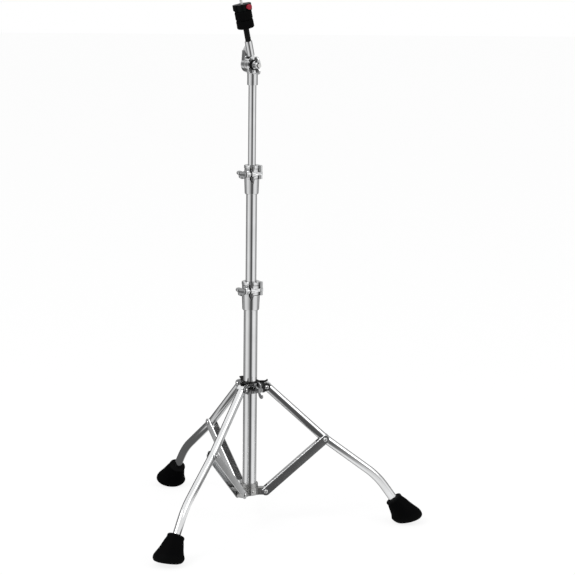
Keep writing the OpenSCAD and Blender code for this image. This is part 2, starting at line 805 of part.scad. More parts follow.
module middle_tube() {
    color("gainsboro") translate([0, 0, middle_top - middle_len])
        pipe(middle_len, middle_od / 2, middle_od / 2 - tube_wall);
}

module top_tube() {
    color("gainsboro") translate([0, 0, tilter_z + socket_top - 1.5 - top_len])
        pipe(top_len, top_od / 2, top_od / 2 - tube_wall);
}

// Puts a piece in the tilter's frame, with +X along the hinge bolt
module at_tilter() {
    translate([0, 0, tilter_z]) rotate([0, 0, tilter_az]) children();
}

// Puts a piece on the tilted arm, with +Z along the cymbal rod
module on_arm() {
    at_tilter() rotate([tilt, 0, 0]) children();
}

// Fixed half of the tilter: a disc, a neck and the socket on the top tube
module tilter_base() {
    socket_r = top_od / 2 + socket_wall;
    color("silver") at_tilter() difference() {
        union() {
            rod_x(disc_from, disc_to, disc_r);
            translate([0, 0, socket_top - socket_len]) cylinder(h = socket_len, r = socket_r);
            intersection() {
                translate([0, 0, socket_top - 0.5])
                    cylinder(h = disc_r - 4, r1 = socket_r, r2 = disc_r - 1);
                translate([disc_from, -far, -far]) cube([disc_to - disc_from, 2 * far, far]);
            }
        }
        translate([0, 0, socket_top - socket_len - over])
            cylinder(h = socket_len + over - 1.5, r = top_od / 2 + fit_gap);
        rod_x(-far, far, tilter_bolt_r + fit_gap);
    }
}

// Tilting half of the tilter: a tear-drop plate behind the disc and a post over its rim
module tilter_arm() {
    post_r = 7.5;
    plate_to = disc_from - arm_gap;
    plate_top = arm_top - 18.4;
    color("gainsboro") on_arm() difference() {
        union() {
            rod_x(arm_from, plate_to, disc_r);
            translate([arm_from + 0.4, 0, 0]) rotate([90, 0, 90])
                linear_extrude(plate_to - arm_from - 0.6)
                    polygon([[disc_r - 1.2, 0], [post_r - 0.1, plate_top],
                        [0.1 - post_r, plate_top], [1.2 - disc_r, 0]]);
            rotate([90, 0, 0]) linear_extrude(2 * post_r - 1, center = true)
                arm_web(plate_to, plate_top);
            translate([0, 0, post_low]) cylinder(h = arm_top - post_low, r = post_r);
        }
        rod_x(-far, far, tilter_bolt_r + run_gap);
        translate([0, 0, arm_top - rod_root])
            cylinder(h = far, r = rod_r - thread_relief + fit_gap);
    }
}

// Side view of the web between the plate and the post
module arm_web(plate_to, plate_top) {
    back = arm_from + 0.8;
    polygon([[back, disc_r - 3], [plate_to - 0.4, disc_r - 3], [plate_to - 0.4, post_low + 0.3],
        [1, post_low + 0.3], [1, arm_top - 8], [-5, arm_top - 8], [back, plate_top - 1]]);
}

module tilter_bolt() {
    color("gray") at_tilter() {
        rod_x(arm_from - 0.2, wing_nut_from + 17, tilter_bolt_r);
        rod_x(arm_from - 3.2, arm_from - 0.2, 7, 7);
    }
}

module tilter_washer() {
    color([0.05, 0.05, 0.05]) at_tilter() difference() {
        rod_x(disc_to, disc_to + washer_t, washer_r);
        rod_x(-far, far, tilter_bolt_r + run_gap);
    }
}

module tilter_wing_nut() {
    color("silver") at_tilter() rotate([8, 0, 0]) difference() {
        translate([wing_nut_from, 0, 0]) wing_head(8.5, wing_span);
        rod_x(-far, far, tilter_bolt_r + run_gap);
    }
}

module cymbal_rod() {
    color("silver") on_arm() {
        translate([0, 0, arm_top - rod_root])
            cylinder(h = thread_z - arm_top + rod_root, r = rod_r - thread_relief);
        translate([0, 0, thread_z]) cylinder(h = rod_tip - 1 - thread_z, r = rod_r);
        translate([0, 0, rod_tip - 1]) cylinder(h = 1, r1 = rod_r, r2 = rod_r - 1);
    }
}

// Plastic seat that carries the lower felt
module cymbal_seat() {
    color([0.05, 0.05, 0.05]) on_arm() translate([0, 0, arm_top])
        pipe(seat_len, seat_r, rod_r + fit_gap);
}

// Plastic sleeve that keeps the cymbal off the thread
module cymbal_sleeve() {
    color([0.05, 0.05, 0.05]) on_arm() translate([0, 0, seat_top])
        pipe(nut_z - seat_top - 0.4, sleeve_r, rod_r + fit_gap);
}

// A thick felt ring with soft edges
module felt() {
    edge = 2.6;
    bore = sleeve_r + 0.3;
    rotate_extrude() {
        translate([bore, 0]) square([felt_r - edge - bore, felt_t]);
        translate([bore, edge]) square([felt_r - bore, felt_t - 2 * edge]);
        for (z = [edge, felt_t - edge]) translate([felt_r - edge, z]) circle(r = edge);
    }
}

module lower_felt() {
    color([0.1, 0.1, 0.1]) on_arm() translate([0, 0, felt_z]) felt();
}

module upper_felt() {
    color([0.1, 0.1, 0.1]) on_arm() translate([0, 0, upper_felt_z]) felt();
}

// Plan of the quick-release nut: a round middle, a finger lobe and a button housing
module nut_plan() {
    lobe_r = 7.6;
    housing_r = 9.4;
    circle(r = 12);
    translate([-nut_half + lobe_r, 0]) circle(r = lobe_r);
    translate([nut_half - housing_r, 0]) circle(r = housing_r);
    translate([-nut_half + lobe_r, -lobe_r]) square([nut_half - lobe_r, 2 * lobe_r]);
    translate([0, -housing_r]) square([nut_half - housing_r, 2 * housing_r]);
}

// Puts a piece in the nut's frame, with +X towards the button's housing
module at_nut() {
    on_arm() translate([0, 0, nut_z]) rotate([0, 0, nut_az - tilter_az]) children();
}

// Puts a piece on the button's axis, with +X outwards from the middle of the housing
module on_button() {
    translate([nut_half - 9.4, 0, nut_h / 2 + 0.4]) rotate([0, 0, -58]) children();
}

module quick_release_nut() {
    color([0.12, 0.14, 0.13]) at_nut() difference() {
        linear_extrude(nut_h) nut_plan();
        translate([0, 0, -over]) cylinder(h = far, r = rod_r + side_gap);
        on_button() rod_x(3, far, button_r + 0.3);
        // Finger hollow under the lobe
        translate([-nut_half - 1, 0, -2]) rotate([90, 0, 0]) cylinder(h = far, r = 5, center = true);
    }
}

module release_button() {
    color([0.8, 0.05, 0.06]) at_nut() on_button() {
        rod_x(5.4, 10.6, button_r);
        rod_x(10.6, 11.8, button_r, button_r - 1.2);
    }
}

base_tube();
bottom_bracket();
bracket_screw();
bracket_rivets();
middle_tube();
top_tube();
leg_collar();
collar_bushing();
collar_rivets();
collar_wing_bolt();
leg(1);  // leg_1
leg(2);  // leg_2
leg(3);  // leg_3
foot(1);  // foot_1
foot(2);  // foot_2
foot(3);  // foot_3
brace(1);  // brace_1
brace(2);  // brace_2
brace(3);  // brace_3
knee_rivet(1);  // knee_rivet_1
knee_rivet(2);  // knee_rivet_2
knee_rivet(3);  // knee_rivet_3
lower_joint_body();
lower_joint_jaw();
lower_hinge_pin();
lower_joint_liner();
lower_wing_bolt();
upper_joint_body();
upper_joint_jaw();
upper_hinge_pin();
upper_joint_liner();
upper_wing_bolt();
tilter_base();
tilter_arm();
tilter_bolt();
tilter_washer();
tilter_wing_nut();
cymbal_rod();
cymbal_seat();
cymbal_sleeve();
lower_felt();
upper_felt();
quick_release_nut();
release_button();
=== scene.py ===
# %% [markdown]
# # A straight cymbal stand
# The stand is a chrome column of three telescoping tubes on a folding tripod, with a tilter and
# two felts at its top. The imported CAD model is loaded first. It is the frame that every piece
# of this lesson is built on, so its objects are never moved and never reshaped.

# %% Load the frame
import json
from math import cos, pi, radians, sin, tan

import bmesh
import bpy
from mathutils import Matrix, Vector
from mathutils.bvhtree import BVHTree

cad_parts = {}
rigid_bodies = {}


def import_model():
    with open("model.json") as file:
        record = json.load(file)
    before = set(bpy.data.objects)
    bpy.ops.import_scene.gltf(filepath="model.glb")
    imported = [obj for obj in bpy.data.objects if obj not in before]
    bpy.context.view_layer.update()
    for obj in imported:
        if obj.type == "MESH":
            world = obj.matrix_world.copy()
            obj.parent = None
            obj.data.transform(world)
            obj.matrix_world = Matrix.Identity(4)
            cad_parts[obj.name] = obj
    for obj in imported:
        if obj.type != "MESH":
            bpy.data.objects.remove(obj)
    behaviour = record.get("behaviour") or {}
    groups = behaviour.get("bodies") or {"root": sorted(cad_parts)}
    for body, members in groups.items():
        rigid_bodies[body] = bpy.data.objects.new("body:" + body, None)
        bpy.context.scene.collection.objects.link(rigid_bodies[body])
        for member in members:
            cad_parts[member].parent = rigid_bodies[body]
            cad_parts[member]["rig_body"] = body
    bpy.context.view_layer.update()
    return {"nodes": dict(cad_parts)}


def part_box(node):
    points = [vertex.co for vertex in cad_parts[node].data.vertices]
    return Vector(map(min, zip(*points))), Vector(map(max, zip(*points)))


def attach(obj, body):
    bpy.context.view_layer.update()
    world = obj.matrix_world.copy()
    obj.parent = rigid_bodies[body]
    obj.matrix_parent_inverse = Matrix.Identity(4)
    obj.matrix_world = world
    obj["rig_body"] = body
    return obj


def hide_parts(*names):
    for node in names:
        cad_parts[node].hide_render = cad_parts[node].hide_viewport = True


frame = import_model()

# %% [markdown]
# ## The camera
# A stand is photographed from far away with a long lens, which keeps its tubes parallel. The
# camera could be placed by eye, but here its place was worked out from the three equal legs and
# the upright column, which gives where it stood, how far it looked down and how long its lens is.

# %% Camera
CAMERA_PLACE = Vector((-0.1287, -4.6746, 1.4191))
CAMERA_YAW, CAMERA_PITCH, CAMERA_ROLL = radians(2.50), radians(-11.09), radians(0.63)
CAMERA_LENS = 145.06

forward = Vector((sin(CAMERA_YAW) * cos(CAMERA_PITCH), cos(CAMERA_YAW) * cos(CAMERA_PITCH),
                  sin(CAMERA_PITCH)))
level_right = Vector((cos(CAMERA_YAW), -sin(CAMERA_YAW), 0))
level_up = level_right.cross(forward)
right = level_right * cos(CAMERA_ROLL) + level_up * sin(CAMERA_ROLL)
up = level_up * cos(CAMERA_ROLL) - level_right * sin(CAMERA_ROLL)

camera = bpy.data.objects.new("camera", bpy.data.cameras.new("camera"))
camera.data.lens = CAMERA_LENS
camera.data.sensor_width = 36
camera.matrix_world = Matrix.Translation(CAMERA_PLACE) @ Matrix(
    (right, up, -forward)).transposed().to_4x4()
bpy.context.scene.collection.objects.link(camera)
bpy.context.scene.camera = camera
bpy.context.scene.view_settings.view_transform = "Standard"
print("camera is", round(CAMERA_PLACE.length, 2), "m from the stand's foot")

# %% [markdown]
# ## Where things are
# The CAD source works in millimetres and this scene in metres, so lengths below are written in
# millimetres and scaled once, when a piece is put in its place. A place is a matrix: the leg's
# plane, the clamp's turn or the tilted rod. A piece is modelled about its own axis, where the
# shape is simple, and the matrix then carries the mesh to the stand.

# %% Places on the stand
MM = 0.001
PIVOT_R, BRACKET_Z = 34.5, 69.415
ARM_LEN, OPEN_ANGLE = 166.0, radians(42.4)
LOWER_Z, UPPER_Z, TILTER_Z = 455.515, 696.515, 960.015
JOINT_TURN, BOLT_SLANT, BOLT_Z = radians(-2.6), radians(200), 42.65
TILTER_TURN, TILT = radians(-56.6), radians(12.9)
ARM_TOP, SEAT_TOP, NUT_Z, ROD_TIP = 49.4, 76.4, 111.8, 146.0
NUT_TURN = radians(54)

# Braces and upper legs are equally long, so the collar lies twice as high above the bracket
# as the knees do
KNEE_R = PIVOT_R + ARM_LEN * cos(OPEN_ANGLE)
KNEE_Z = BRACKET_Z + ARM_LEN * sin(OPEN_ANGLE)
COLLAR_Z = 2 * KNEE_Z - BRACKET_Z


def shift(x=0, y=0, z=0):
    return Matrix.Translation((x, y, z))


def turn(angle, axis):
    return Matrix.Rotation(angle, 4, axis)


TO_METRES = Matrix.Scale(MM, 4)
LEG_PLANE = [turn(2 * pi * i / 3, "Z") for i in range(3)]
AT_TILTER = shift(z=TILTER_Z) @ turn(TILTER_TURN, "Z")
ON_ARM = AT_TILTER @ turn(TILT, "X")
AT_NUT = ON_ARM @ shift(z=NUT_Z) @ turn(NUT_TURN, "Z")

# %% [markdown]
# ## Turning a mesh into a piece
# Every piece ends the same way: its mesh goes to its place, doubled points are merged, its faces
# are turned outwards and shaded smooth up to a sharp angle. Then it is tied to the CAD body that
# it moves with, and the CAD nodes that it stands for are hidden. One helper does all of that, so
# no piece forgets a step.

# %% Helper: finish a piece
SMOOTH_UP_TO = radians(32)
MERGE = 2e-6
NEUTRAL = 50


def piece(bm, name, body, slot, nodes=(), place=None, smooth=SMOOTH_UP_TO, look=None):
    if place is not None:
        bmesh.ops.transform(bm, matrix=TO_METRES @ place, verts=bm.verts)
    bmesh.ops.remove_doubles(bm, verts=bm.verts, dist=MERGE)
    bmesh.ops.recalc_face_normals(bm, faces=bm.faces)
    mesh = bpy.data.meshes.new(name)
    bm.to_mesh(mesh)
    bm.free()
    mesh.shade_smooth()
    mesh.set_sharp_from_angle(angle=smooth)
    made = bpy.data.objects.new(name, mesh)
    bpy.context.scene.collection.objects.link(made)
    mesh.materials.append(FINISH[look or slot])
    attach(made, body)
    if nodes:
        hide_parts(*nodes)
    # Wide faces keep their own direction, so a flat wall mirrors like a flat wall
    level_faces = made.modifiers.new("level_faces", "WEIGHTED_NORMAL")
    level_faces.weight = NEUTRAL
    level_faces.keep_sharp = True
    print(f"{name}: {len(mesh.polygons)} faces on {body}")
    return made


# %% [markdown]
# ## Finishes
# A finish is a small net of shader nodes. Noise on Object coordinates stays with the metal when
# the stand is turned or folded, and it drives two things: how rough the surface is, which shows
# as smudges and polishing marks, and a very shallow bump. All the finishes share one recipe with
# different numbers, so it is a function. Stretching the noise along one axis turns round
# specks into drawn lines. Two more steps are there for the finishes that need them: rubbed edges
# on plastic and rubber, and painted shade, where the metal's colour is darkened in its seams,
# found by how much open sky a point sees.

# %% Helper: a finish from noise
FINISH = {}
BROAD_SPECK, BROAD_DETAIL = 28, 3
DARKER_TONE = 0.93
# How far the shade painted into seams reaches, and its colour
SEAM_SHADE_REACH, SEAM_SHADE_COLOUR = 0.004, (0.012, 0.012, 0.012, 1)


def shader_net(name):
    material = bpy.data.materials.new(name)
    material.use_nodes = True
    return material, material.node_tree


def node(net, kind, **sockets):
    """A new node. What is given for a socket is linked if it is an output, or else written in."""
    made = net.nodes.new("ShaderNode" + kind)
    for name, value in sockets.items():
        socket = made.inputs[name.replace("_", " ")]
        if isinstance(value, bpy.types.NodeSocket):
            net.links.new(value, socket)
        else:
            socket.default_value = value
    return made


def maths(net, operation, first, second):
    made = net.nodes.new("ShaderNodeMath")
    made.operation = operation
    net.links.new(first, made.inputs[0])
    if isinstance(second, bpy.types.NodeSocket):
        net.links.new(second, made.inputs[1])
    else:
        made.inputs[1].default_value = second
    return made.outputs[0]


def two_tones(net, factor, dark, light, start=0.0, end=1.0):
    ramp = node(net, "ValToRGB", Fac=factor)
    for stop, position, colour in zip(ramp.color_ramp.elements, (start, end), (dark, light)):
        stop.position = position
        stop.color = (*colour, 1)
    return ramp.outputs["Color"]


def rubbed_edges(net, colour_in, colour, wear):
    """Edges that hands and cases rub: a lighter rim where the surface is convex."""
    convex = node(net, "NewGeometry").outputs["Pointiness"]
    edge = node(net, "MapRange", Value=convex, From_Min=0.51, From_Max=0.58, To_Max=wear)
    lighter = (*[min(1, c * 1.15 + 0.05) for c in colour], 1)
    rub = node(net, "MixRGB", Fac=edge.outputs["Result"], Color1=colour_in, Color2=lighter)
    return rub.outputs["Color"]


def shaded_seams(net, colour_in, depth):
    """Painted shade: the metal's colour darkens in seams and inner corners, where it is hemmed in.
    """
    open_sky = node(net, "AmbientOcclusion", Distance=SEAM_SHADE_REACH)
    open_sky.samples = 8
    shade = node(net, "MapRange", Value=open_sky.outputs["AO"], From_Min=0.25, From_Max=0.8,
                 To_Min=depth, To_Max=0.0)
    hemmed = node(net, "MixRGB", Fac=shade.outputs["Result"], Color1=colour_in,
                  Color2=SEAM_SHADE_COLOUR)
    return hemmed.outputs["Color"]


def finish(slot, colour, metallic, rough, rough_spread, speck, stretch=(1, 1, 1), bump=0.02,
           bump_distance=0.0002, detail=5, wear=0.0, painted_seam_shade=0.0):
    material, net = shader_net(slot)
    shader = net.nodes["Principled BSDF"]
    shader.inputs["Metallic"].default_value = metallic
    where = node(net, "TexCoord").outputs["Object"]
    stretched = node(net, "Mapping", Vector=where, Scale=stretch).outputs["Vector"]
    fine = node(net, "TexNoise", Vector=stretched, Scale=speck, Detail=detail).outputs["Fac"]
    broad = node(net, "TexNoise", Vector=where, Scale=BROAD_SPECK,
                 Detail=BROAD_DETAIL).outputs["Fac"]
    spread = node(net, "MapRange", Value=maths(net, "MULTIPLY", fine, broad),
                  From_Min=0.08, From_Max=0.45, To_Min=rough - rough_spread,
                  To_Max=rough + rough_spread)
    net.links.new(spread.outputs["Result"], shader.inputs["Roughness"])
    shown = two_tones(net, broad, [c * DARKER_TONE for c in colour], colour, 0.35, 0.65)
    if wear:
        shown = rubbed_edges(net, shown, colour, wear)
    # Shade is painted into the seams by darkening the base colour
    if painted_seam_shade:
        shown = shaded_seams(net, shown, painted_seam_shade)
    net.links.new(shown, shader.inputs["Base Color"])
    lift = node(net, "Bump", Strength=bump, Distance=bump_distance, Height=fine)
    net.links.new(lift.outputs["Normal"], shader.inputs["Normal"])
    FINISH[slot] = material
    return shader


# %% [markdown]
# Chrome on drawn tube mirrors its surroundings almost cleanly, with faint lines along the tube.
# Chrome on pressed sheet and on castings is softer, because the metal below it is less smooth.
# The collar and the wing bolts get a darker copy of the chrome colour, which paints in the dark
# reflections that they show, and the bracket is dull. The screws are zinc, the rivets and the rod
# are plain steel, and the rest is black plastic, black rubber and black felt, with one red button.

# %% The stand's finishes
BRIGHT_CHROME, SOFT_CHROME = (0.80, 0.805, 0.81), (0.74, 0.745, 0.75)
ALONG_THE_TUBE = (1, 1, 0.03)

finish("chrome_tube", BRIGHT_CHROME, 1, 0.07, 0.02, 900, ALONG_THE_TUBE, bump=0.008)
finish("leg_chrome", BRIGHT_CHROME, 1, 0.08, 0.02, 300, bump=0.004)
# On the metal finishes below, the last number is how strongly shade is painted into their seams
finish("chrome_sheet", SOFT_CHROME, 1, 0.13, 0.04, 420, bump=0.02, painted_seam_shade=0.8)
finish("cast_chrome", SOFT_CHROME, 1, 0.10, 0.03, 260, bump=0.03, painted_seam_shade=0.95)
# Darker copies of the chrome colour, for the wing bolts and the collar: painted dark reflection
finish("dark_chrome", (0.30, 0.303, 0.306), 1, 0.10, 0.03, 260, bump=0.04, painted_seam_shade=0.95)
finish("collar_chrome_painted_dark", (0.24, 0.243, 0.246), 1, 0.09, 0.03, 260, bump=0.03, painted_seam_shade=0.95)
finish("bracket_dull", (0.42, 0.42, 0.415), 1, 0.34, 0.08, 260, bump=0.05, painted_seam_shade=0.9)
finish("rivet_steel", (0.72, 0.72, 0.72), 1, 0.2, 0.07, 700, bump=0.08, painted_seam_shade=0.9)
finish("zinc_screw", (0.66, 0.66, 0.65), 1, 0.26, 0.08, 700, bump=0.08, painted_seam_shade=0.9)
finish("rod_steel", (0.86, 0.86, 0.86), 1, 0.28, 0.06, 800, bump=0.06)
nylon = finish("black_nylon", (0.004, 0.004, 0.0042), 0, 0.42, 0.08, 500, bump=0.12, wear=0.15)
nylon.inputs["Specular IOR Level"].default_value = 0.05
rubber = finish("black_rubber", (0.0012, 0.0012, 0.0014), 0, 0.62, 0.1, 900, bump=0.25,
                bump_distance=0.0004, wear=0.1)
rubber.inputs["Specular IOR Level"].default_value = 0.025
wool = finish("black_felt", (0.002, 0.002, 0.0021), 0, 0.95, 0.03, 1500, bump=0.9,
              bump_distance=0.0008, detail=9)
wool.inputs["Specular IOR Level"].default_value = 0.05
wool.inputs["Sheen Weight"].default_value = 0.006
wool.inputs["Sheen Roughness"].default_value = 0.5
moulding = finish("nut_plastic", (0.0015, 0.0022, 0.0021), 0, 0.28, 0.08, 500, bump=0.06, wear=0.2)
moulding.inputs["Specular IOR Level"].default_value = 0.05
red = finish("red_plastic", (0.30, 0.008, 0.025), 0, 0.3, 0.06, 500, bump=0.05, wear=0.1)
red.inputs["Specular IOR Level"].default_value = 0.3
print("finishes:", ", ".join(FINISH))

# %% [markdown]
# ## Turned parts
# Tubes, seats, felts and rivet heads are round about an axis. On a lathe they are cut from bar,
# and here their profile is drawn as a chain of points and spun about Z in the same way. The
# profile starts and ends on the axis or comes back to its first point, so the shape is closed.

# %% Helper: a lathe
def lathe(profile, steps=64, closed=False):
    bm = bmesh.new()
    verts = [bm.verts.new((r, 0, z)) for r, z in profile]
    edges = [bm.edges.new(pair) for pair in zip(verts, verts[1:])]
    if closed:
        edges.append(bm.edges.new((verts[-1], verts[0])))
    bmesh.ops.spin(bm, geom=verts + edges, cent=(0, 0, 0), axis=(0, 0, 1), angle=2 * pi,
                   steps=steps, use_merge=True)
    bmesh.ops.remove_doubles(bm, verts=bm.verts, dist=1e-4)
    return bm


def joined(*parts):
    """One bmesh of several, each given alone or with a matrix that puts it in place."""
    whole = bmesh.new()
    for part in parts:
        bm, place = part if isinstance(part, tuple) else (part, None)
        if place is not None:
            bmesh.ops.transform(bm, matrix=place, verts=bm.verts)
        mesh = bpy.data.meshes.new("part")
        bm.to_mesh(mesh)
        bm.free()
        whole.from_mesh(mesh)
        bpy.data.meshes.remove(mesh)
    return whole


# %% [markdown]
# ## The three column tubes
# Each tube is drawn steel with a 1.2 mm wall, and its cut ends are broken with a small round.
# A cylinder primitive would leave knife edges, so the wall's section is spun instead: it is a
# long rectangle whose corners are cut off. Radius and ends come from the frame's own tubes.

# %% Tubes
TUBE_WALL, TUBE_STEPS = 1.2, 96


def tube_section(r_out, wall, low, high, soft=0.35):
    r_in = r_out - wall
    return [(r_out, low + soft), (r_out, high - soft), (r_out - soft, high), (r_in + soft, high),
            (r_in, high - soft), (r_in, low + soft), (r_in + soft, low), (r_out - soft, low)]


node_body = {name: made["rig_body"] for name, made in frame["nodes"].items()}
for name in ("base_tube", "middle_tube", "top_tube"):
    lower_corner, upper_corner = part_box(name)
    section = tube_section(upper_corner[0] / MM, TUBE_WALL, lower_corner[2] / MM,
                           upper_corner[2] / MM)
    piece(lathe(section, TUBE_STEPS, closed=True), name + "_chromed", node_body[name],
          "chrome_tube", [name], Matrix.Identity(4))

# %% [markdown]
# ## Pieces that the CAD model already shapes well
# The castings, plates and liners have their true form in the CAD solids. What they lack is the
# small round that casting and tumbling leave on every edge, which is what catches the light. A
# copy of the CAD mesh is merged, its flat faces are dissolved, and its sharp edges are bevelled.

# %% Helper: a CAD shape with soft edges
FLAT = radians(0.6)
SHARP = radians(38)


def softened(cad_name, width, segments=2):
    bm = bmesh.new()
    bm.from_mesh(frame["nodes"][cad_name].data)
    bmesh.ops.remove_doubles(bm, verts=bm.verts, dist=MERGE)
    cad_surface = BVHTree.FromBMesh(bm)
    bmesh.ops.dissolve_limit(bm, angle_limit=FLAT, verts=bm.verts, edges=bm.edges)
    sharp = [e for e in bm.edges if e.is_manifold and e.calc_face_angle(0) > SHARP]
    bmesh.ops.bevel(bm, geom=sharp, offset=width * MM, offset_type="OFFSET", segments=segments,
                    profile=0.5, affect="EDGES", clamp_overlap=False, material=-1)
    # Where two edges meet at a sharp angle a bevel can shoot past them, so it is laid back
    for v in bm.verts:
        near, _, _, off = cad_surface.find_nearest(v.co)
        if off > width * MM:
            v.co = near
    return bm


# The piece's slot and how wide its edges are rounded
SOFT_PIECES = {
    "bottom_bracket": ("cast_chrome", 0.35),
    "bracket_screw": ("zinc_screw", 0.15),
    "leg_collar": ("cast_chrome", 0.3),
    "collar_bushing": ("black_nylon", 0.25),
    "lower_joint_body": ("cast_chrome", 0.25),
    "lower_joint_jaw": ("cast_chrome", 0.2),
    "lower_hinge_pin": ("rivet_steel", 0.2),
    "lower_joint_liner": ("black_nylon", 0.12),
    "upper_joint_body": ("cast_chrome", 0.25),
    "upper_joint_jaw": ("cast_chrome", 0.2),
    "upper_hinge_pin": ("rivet_steel", 0.2),
    "upper_joint_liner": ("black_nylon", 0.12),
    "tilter_base": ("cast_chrome", 0.4),
    "tilter_arm": ("cast_chrome", 0.4),
    "tilter_bolt": ("zinc_screw", 0.3),
    "tilter_washer": ("black_nylon", 0.25),
}
# Two castings look different from the rest: the bracket is dull, and the collar's chrome colour
# is darkened, a painted dark reflection
OWN_LOOK = {"bottom_bracket": "bracket_dull", "leg_collar": "collar_chrome_painted_dark"}
for name, (slot, width) in SOFT_PIECES.items():
    piece(softened(name, width), name + "_soft", node_body[name], slot, [name],
          look=OWN_LOOK.get(name))

# %% [markdown]
# ## Braces
# A brace is a strip of sheet pressed into a channel, with round ends and folded edges. The CAD
# solid has the folds, so it is softened in the same way, with a finer round for thin sheet.

# %% Braces
SHEET_EDGE = 0.25
for i in range(3):
    name = f"brace_{i + 1}"
    piece(softened(name, SHEET_EDGE), name + "_pressed", node_body[name], "chrome_sheet", [name])

# %% [markdown]
# ## Legs
# A leg is one oval tube, bent a little at the knee and more at the ankle. The oval is a circle
# whose upper and lower halves are pulled apart. It is extruded along the straight parts and spun
# about the middle of each bend, which is what a tube bender does.

# %% Helper: the leg's oval tube
LEG_W, LEG_H = 15.0, 18.0
KNEE_BEND, KNEE_BEND_R, SHIN_LEN = radians(6.1), 80.0, 137.6
ANKLE_BEND, ANKLE_BEND_R, ANKLE_LEN = radians(18.2), 160.0, 58.7
FOOT_SOCKET = 28.0
SHIN_ANGLE = OPEN_ANGLE - KNEE_BEND
FOOT_ANGLE = SHIN_ANGLE + ANKLE_BEND
knee_cut = KNEE_BEND_R * tan(KNEE_BEND / 2)
ankle_cut = ANKLE_BEND_R * tan(ANKLE_BEND / 2)


def oval_ring(bm, inset=0.0, segments=48):
    ring = bmesh.ops.create_circle(bm, cap_ends=False, segments=segments,
                                   radius=LEG_W / 2 - inset)["verts"]
    half = (LEG_H - LEG_W) / 2
    for v in ring:
        v.co = Vector((v.co.x, v.co.y + (half if v.co.y > 0 else -half), 0))
    bmesh.ops.transform(bm, matrix=turn(pi / 2, "Z") @ turn(pi / 2, "X"), verts=ring)
    return ring


def extruded(bm, edges, along):
    grown = bmesh.ops.extrude_edge_only(bm, edges=edges)["geom"]
    bmesh.ops.translate(bm, vec=along, verts=[g for g in grown if isinstance(g, bmesh.types.BMVert)])
    return [g for g in grown if isinstance(g, bmesh.types.BMEdge)]


def bent(bm, edges, centre, angle, steps):
    """Spins the open end of a tube about an axis along Y and returns its new end."""
    verts = list({v for e in edges for v in e.verts})
    last = bmesh.ops.spin(bm, geom=verts + edges, cent=centre, axis=(0, 1, 0), angle=angle,
                          steps=steps, use_merge=False)["geom_last"]
    return [g for g in last if isinstance(g, bmesh.types.BMEdge)]


def leg_tube():
    bm = bmesh.new()
    edges = list({e for v in oval_ring(bm) for e in v.link_edges})
    knee_x = ARM_LEN - knee_cut
    shin = SHIN_LEN - knee_cut - ankle_cut
    edges = extruded(bm, edges, (knee_x, 0, 0))
    # The knee bends towards level: its centre lies above the leg, and the spin turns about -Y
    edges = bent(bm, edges, (knee_x, 0, KNEE_BEND_R), -KNEE_BEND, 8)
    heading = Vector((cos(KNEE_BEND), 0, sin(KNEE_BEND)))
    edges = extruded(bm, edges, heading * shin)
    at = Vector((knee_x, 0, 0)) + Vector((sin(KNEE_BEND), 0, 1 - cos(KNEE_BEND))) * KNEE_BEND_R
    at += heading * shin
    down = Vector((sin(KNEE_BEND), 0, -cos(KNEE_BEND)))
    edges = bent(bm, edges, at + down * ANKLE_BEND_R, ANKLE_BEND, 16)
    slope = KNEE_BEND - ANKLE_BEND
    heading = Vector((cos(slope), 0, sin(slope)))
    edges = extruded(bm, edges, heading * (ANKLE_LEN - ankle_cut + FOOT_SOCKET))
    bmesh.ops.holes_fill(bm, edges=edges)
    bmesh.ops.holes_fill(bm, edges=[e for e in bm.edges if e.is_boundary])
    return bm


# %% [markdown]
# The top of each leg is a plug with a round end, which turns between the collar's lug plates. It
# starts as a cube, and a bevel almost as wide as half its height rounds it.

# %% Legs
PLUG_LEN, PLUG_W, PLUG_FROM = 14, 14.6, -9
PLUG_END_R, PLUG_EDGE_R = 8.9, 0.7


def leg_plug():
    bm = bmesh.new()
    bmesh.ops.create_cube(bm, size=1, matrix=shift(x=PLUG_FROM + PLUG_LEN / 2) @ Matrix.Diagonal(
        (PLUG_LEN, PLUG_W, LEG_H, 1)))
    ends = [e for e in bm.edges if all(v.co.x < 0 for v in e.verts)
            and abs(e.verts[0].co.z - e.verts[1].co.z) < 0.1]
    bmesh.ops.bevel(bm, geom=ends, offset=PLUG_END_R, offset_type="OFFSET", segments=12,
                    profile=0.5, affect="EDGES", clamp_overlap=False, material=-1)
    sides = [e for e in bm.edges if e.calc_face_angle(0) > radians(60)]
    bmesh.ops.bevel(bm, geom=sides, offset=PLUG_EDGE_R, offset_type="OFFSET", segments=2,
                    profile=0.5, affect="EDGES", clamp_overlap=False, material=-1)
    return bm


for i in range(3):
    at_leg = LEG_PLANE[i] @ shift(PIVOT_R, 0, COLLAR_Z) @ turn(OPEN_ANGLE, "Y")
    piece(joined(leg_tube(), leg_plug()), f"leg_{i + 1}_bent", f"leg_{i + 1}", "chrome_tube",
          [f"leg_{i + 1}"], at_leg, look="leg_chrome")

# %% [markdown]
# ## Feet
# A foot is a thick rubber boot: a round collar round the tube, flaring to a wide sole that lies
# flat on the floor while the boot leans with the leg. It is grown ring by ring: each new ring is
# extruded from the last and carried to its own radius, place and lean. The sole is then cut
# level with the floor.

# %% Helper: a boot grown from rings
foot_r = KNEE_R + SHIN_LEN * cos(SHIN_ANGLE) + ANKLE_LEN * cos(FOOT_ANGLE)
foot_z = KNEE_Z - SHIN_LEN * sin(SHIN_ANGLE) - ANKLE_LEN * sin(FOOT_ANGLE)
